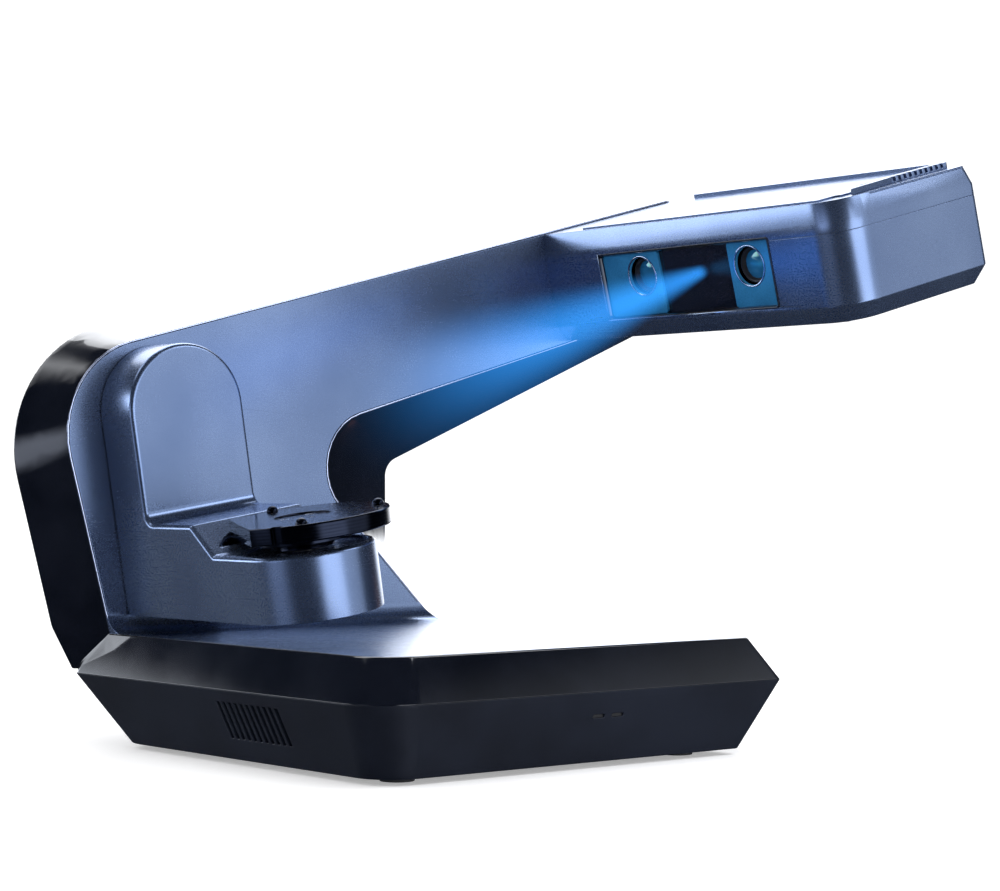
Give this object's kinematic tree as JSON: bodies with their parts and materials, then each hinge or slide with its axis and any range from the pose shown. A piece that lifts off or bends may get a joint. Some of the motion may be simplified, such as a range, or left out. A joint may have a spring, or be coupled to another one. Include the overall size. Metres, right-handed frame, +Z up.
{
  "type": "desktop 3d scanner",
  "caption": "C-shaped desktop structured-light scanner: low base, leaning column and arm, scanning head with two cameras and a projector, tilting bracket with turntable.",
  "frame": {"origin": "on the table under the middle of the base", "axes": "+Z up, +X along the arm towards the scanning head, -Y towards the user in front"},
  "size_m": [0.462, 0.3134, 0.3197],
  "materials": {
    "satin_shell": "satin blue-grey metallic paint",
    "gloss_black": "polished black",
    "dark_shell": "fine satin navy",
    "rubber": "soft black",
    "steel": "zinc plated",
    "brass": "machined",
    "board": "green solder mask",
    "black_plastic": "moulded black",
    "motor": "black laminations",
    "plate_black": "black anodised",
    "aluminium": "bead blasted",
    "camera_black": "dark anodised",
    "lens_glass": "coated optics",
    "light_pipe": "smoked light pipe"
  },
  "bodies": {
    "body": {"base_fan_frame": "black_plastic", "base_tray": "dark_shell", "camera_barrels": "camera_black", "camera_bodies": "camera_black", "camera_lenses": "lens_glass", "chassis_plate": "steel", "data_port": "black_plastic", "front_cover": "satin_shell", "gloss_band": "gloss_black", "head_fan_frame": "black_plastic", "head_lower_shell": "satin_shell", "head_screws": "steel", "head_top_panel": "satin_shell", "head_upper_shell": "satin_shell", "lens_plates": "camera_black", "main_board": "board", "optical_bench": "aluminium", "power_inlet": "black_plastic", "projector_body": "aluminium", "projector_lens": "lens_glass", "rear_shell": "dark_shell", "rubber_feet": "rubber", "status_lights": "light_pipe", "switch_housing": "black_plastic", "tilt_bearings": "steel", "tilt_housing": "aluminium", "tilt_motor": "motor", "tray_screws": "steel", "window_frame": "gloss_black", "window_glass": "lens_glass"},
    "tilting_bracket": {"tilt_bracket": "satin_shell", "bracket_cover": "dark_shell", "bracket_screws": "steel", "tilt_shaft": "steel", "tilt_gear": "brass", "turntable_motor": "motor"},
    "turntable": {"turntable_plate": "plate_black", "turntable_hub": "plate_black", "turntable_shaft": "steel", "locating_pins": "steel", "plate_screws": "steel"},
    "motor_pinion": {"tilt_pinion": "brass"},
    "base_fan": {"base_fan_rotor": "black_plastic"},
    "head_fan": {"head_fan_rotor": "black_plastic"},
    "power_rocker": {"switch_rocker": "black_plastic"}
  },
  "joints": [
    {"name": "bracket_tilt", "type": "hinge", "parent": "body", "child": "tilting_bracket", "pos_m": [-0.0918, 0.084, 0.17405], "axis": [0, 1, 0], "range_deg": [-36, 54]},
    {"name": "turntable_spin", "type": "hinge", "parent": "tilting_bracket", "child": "turntable", "pos_m": [-0.08326, -0.0355, 0.12073], "axis": [-0.1582, 0, 0.9874], "continuous": true},
    {"name": "pinion_spin", "type": "hinge", "parent": "body", "child": "motor_pinion", "pos_m": [-0.0819, 0.12, 0.13633], "axis": [0, 1, 0], "range_deg": [-300, 200]},
    {"name": "base_fan_spin", "type": "hinge", "parent": "body", "child": "base_fan", "pos_m": [-0.108, -0.05, 0.0215], "axis": [1, 0, 0], "continuous": true},
    {"name": "head_fan_spin", "type": "hinge", "parent": "body", "child": "head_fan", "pos_m": [0.2411, -0.118, 0.29169], "axis": [-0.2538, 0, 0.9673], "continuous": true},
    {"name": "rocker_tilt", "type": "hinge", "parent": "body", "child": "power_rocker", "pos_m": [-0.024, 0.152, 0.0945], "axis": [1, 0, 0], "range_deg": [-8, 8]}
  ],
  "couplings": [
    {"joint": "pinion_spin", "follows": "bracket_tilt", "ratio": -5.5}
  ]
}
